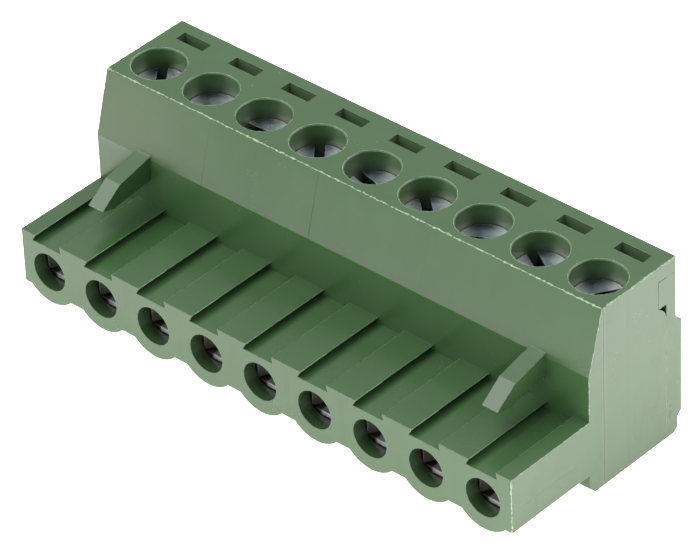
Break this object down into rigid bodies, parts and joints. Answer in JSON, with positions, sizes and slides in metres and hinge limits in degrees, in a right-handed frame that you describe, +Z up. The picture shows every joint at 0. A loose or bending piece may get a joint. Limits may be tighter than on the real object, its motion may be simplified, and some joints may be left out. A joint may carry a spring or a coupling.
{
  "type": "pluggable terminal block",
  "caption": "Straight row of rising-cage screw clamps in a stepped green plug, with round pin holes in a lobed nose, latch fingers and a rear cover with wire entries.",
  "frame": {"origin": "middle of the block's length and depth, on the plane of its flat base", "axes": "+X along the row of poles, -Y the plug side with the pin holes, +Y the wire side, +Z up towards the screw heads"},
  "size_m": [0.0458, 0.018, 0.015],
  "materials": {
    "green_polyamide": "satin",
    "zinc_steel": "satin",
    "nickel_cage": "satin",
    "tinned_contact": "satin"
  },
  "bodies": {
    "block": {"housing": "green_polyamide", "rear_cover": "green_polyamide", "contact_1": "tinned_contact", "contact_2": "tinned_contact", "contact_3": "tinned_contact", "contact_4": "tinned_contact", "contact_5": "tinned_contact", "contact_6": "tinned_contact", "contact_7": "tinned_contact", "contact_8": "tinned_contact", "contact_9": "tinned_contact"},
    "screw_1": {"screw_1": "zinc_steel"},
    "cage_1": {"cage_1": "nickel_cage"},
    "screw_2": {"screw_2": "zinc_steel"},
    "cage_2": {"cage_2": "nickel_cage"},
    "screw_3": {"screw_3": "zinc_steel"},
    "cage_3": {"cage_3": "nickel_cage"},
    "screw_4": {"screw_4": "zinc_steel"},
    "cage_4": {"cage_4": "nickel_cage"},
    "screw_5": {"screw_5": "zinc_steel"},
    "cage_5": {"cage_5": "nickel_cage"},
    "screw_6": {"screw_6": "zinc_steel"},
    "cage_6": {"cage_6": "nickel_cage"},
    "screw_7": {"screw_7": "zinc_steel"},
    "cage_7": {"cage_7": "nickel_cage"},
    "screw_8": {"screw_8": "zinc_steel"},
    "cage_8": {"cage_8": "nickel_cage"},
    "screw_9": {"screw_9": "zinc_steel"},
    "cage_9": {"cage_9": "nickel_cage"}
  },
  "joints": [
    {"name": "screw_1_turn", "type": "hinge", "parent": "block", "child": "screw_1", "pos_m": [-0.02032, 0.00329, 0.011], "axis": [0, 0, -1], "range_deg": [0, 1800]},
    {"name": "cage_1_lift", "type": "slide", "parent": "block", "child": "cage_1", "axis": [0, 0, 1], "range_m": [0, 0.0025]},
    {"name": "screw_2_turn", "type": "hinge", "parent": "block", "child": "screw_2", "pos_m": [-0.01524, 0.00329, 0.011], "axis": [0, 0, -1], "range_deg": [0, 1800]},
    {"name": "cage_2_lift", "type": "slide", "parent": "block", "child": "cage_2", "axis": [0, 0, 1], "range_m": [0, 0.0025]},
    {"name": "screw_3_turn", "type": "hinge", "parent": "block", "child": "screw_3", "pos_m": [-0.01016, 0.00329, 0.011], "axis": [0, 0, -1], "range_deg": [0, 1800]},
    {"name": "cage_3_lift", "type": "slide", "parent": "block", "child": "cage_3", "axis": [0, 0, 1], "range_m": [0, 0.0025]},
    {"name": "screw_4_turn", "type": "hinge", "parent": "block", "child": "screw_4", "pos_m": [-0.00508, 0.00329, 0.011], "axis": [0, 0, -1], "range_deg": [0, 1800]},
    {"name": "cage_4_lift", "type": "slide", "parent": "block", "child": "cage_4", "axis": [0, 0, 1], "range_m": [0, 0.0025]},
    {"name": "screw_5_turn", "type": "hinge", "parent": "block", "child": "screw_5", "pos_m": [0, 0.00329, 0.011], "axis": [0, 0, -1], "range_deg": [0, 1800]},
    {"name": "cage_5_lift", "type": "slide", "parent": "block", "child": "cage_5", "axis": [0, 0, 1], "range_m": [0, 0.0025]},
    {"name": "screw_6_turn", "type": "hinge", "parent": "block", "child": "screw_6", "pos_m": [0.00508, 0.00329, 0.011], "axis": [0, 0, -1], "range_deg": [0, 1800]},
    {"name": "cage_6_lift", "type": "slide", "parent": "block", "child": "cage_6", "axis": [0, 0, 1], "range_m": [0, 0.0025]},
    {"name": "screw_7_turn", "type": "hinge", "parent": "block", "child": "screw_7", "pos_m": [0.01016, 0.00329, 0.011], "axis": [0, 0, -1], "range_deg": [0, 1800]},
    {"name": "cage_7_lift", "type": "slide", "parent": "block", "child": "cage_7", "axis": [0, 0, 1], "range_m": [0, 0.0025]},
    {"name": "screw_8_turn", "type": "hinge", "parent": "block", "child": "screw_8", "pos_m": [0.01524, 0.00329, 0.011], "axis": [0, 0, -1], "range_deg": [0, 1800]},
    {"name": "cage_8_lift", "type": "slide", "parent": "block", "child": "cage_8", "axis": [0, 0, 1], "range_m": [0, 0.0025]},
    {"name": "screw_9_turn", "type": "hinge", "parent": "block", "child": "screw_9", "pos_m": [0.02032, 0.00329, 0.011], "axis": [0, 0, -1], "range_deg": [0, 1800]},
    {"name": "cage_9_lift", "type": "slide", "parent": "block", "child": "cage_9", "axis": [0, 0, 1], "range_m": [0, 0.0025]}
  ],
  "couplings": [
    {"joint": "screw_1_turn", "follows": "cage_1_lift", "rad_per_m": 12566},
    {"joint": "screw_2_turn", "follows": "cage_2_lift", "rad_per_m": 12566},
    {"joint": "screw_3_turn", "follows": "cage_3_lift", "rad_per_m": 12566},
    {"joint": "screw_4_turn", "follows": "cage_4_lift", "rad_per_m": 12566},
    {"joint": "screw_5_turn", "follows": "cage_5_lift", "rad_per_m": 12566},
    {"joint": "screw_6_turn", "follows": "cage_6_lift", "rad_per_m": 12566},
    {"joint": "screw_7_turn", "follows": "cage_7_lift", "rad_per_m": 12566},
    {"joint": "screw_8_turn", "follows": "cage_8_lift", "rad_per_m": 12566},
    {"joint": "screw_9_turn", "follows": "cage_9_lift", "rad_per_m": 12566}
  ]
}
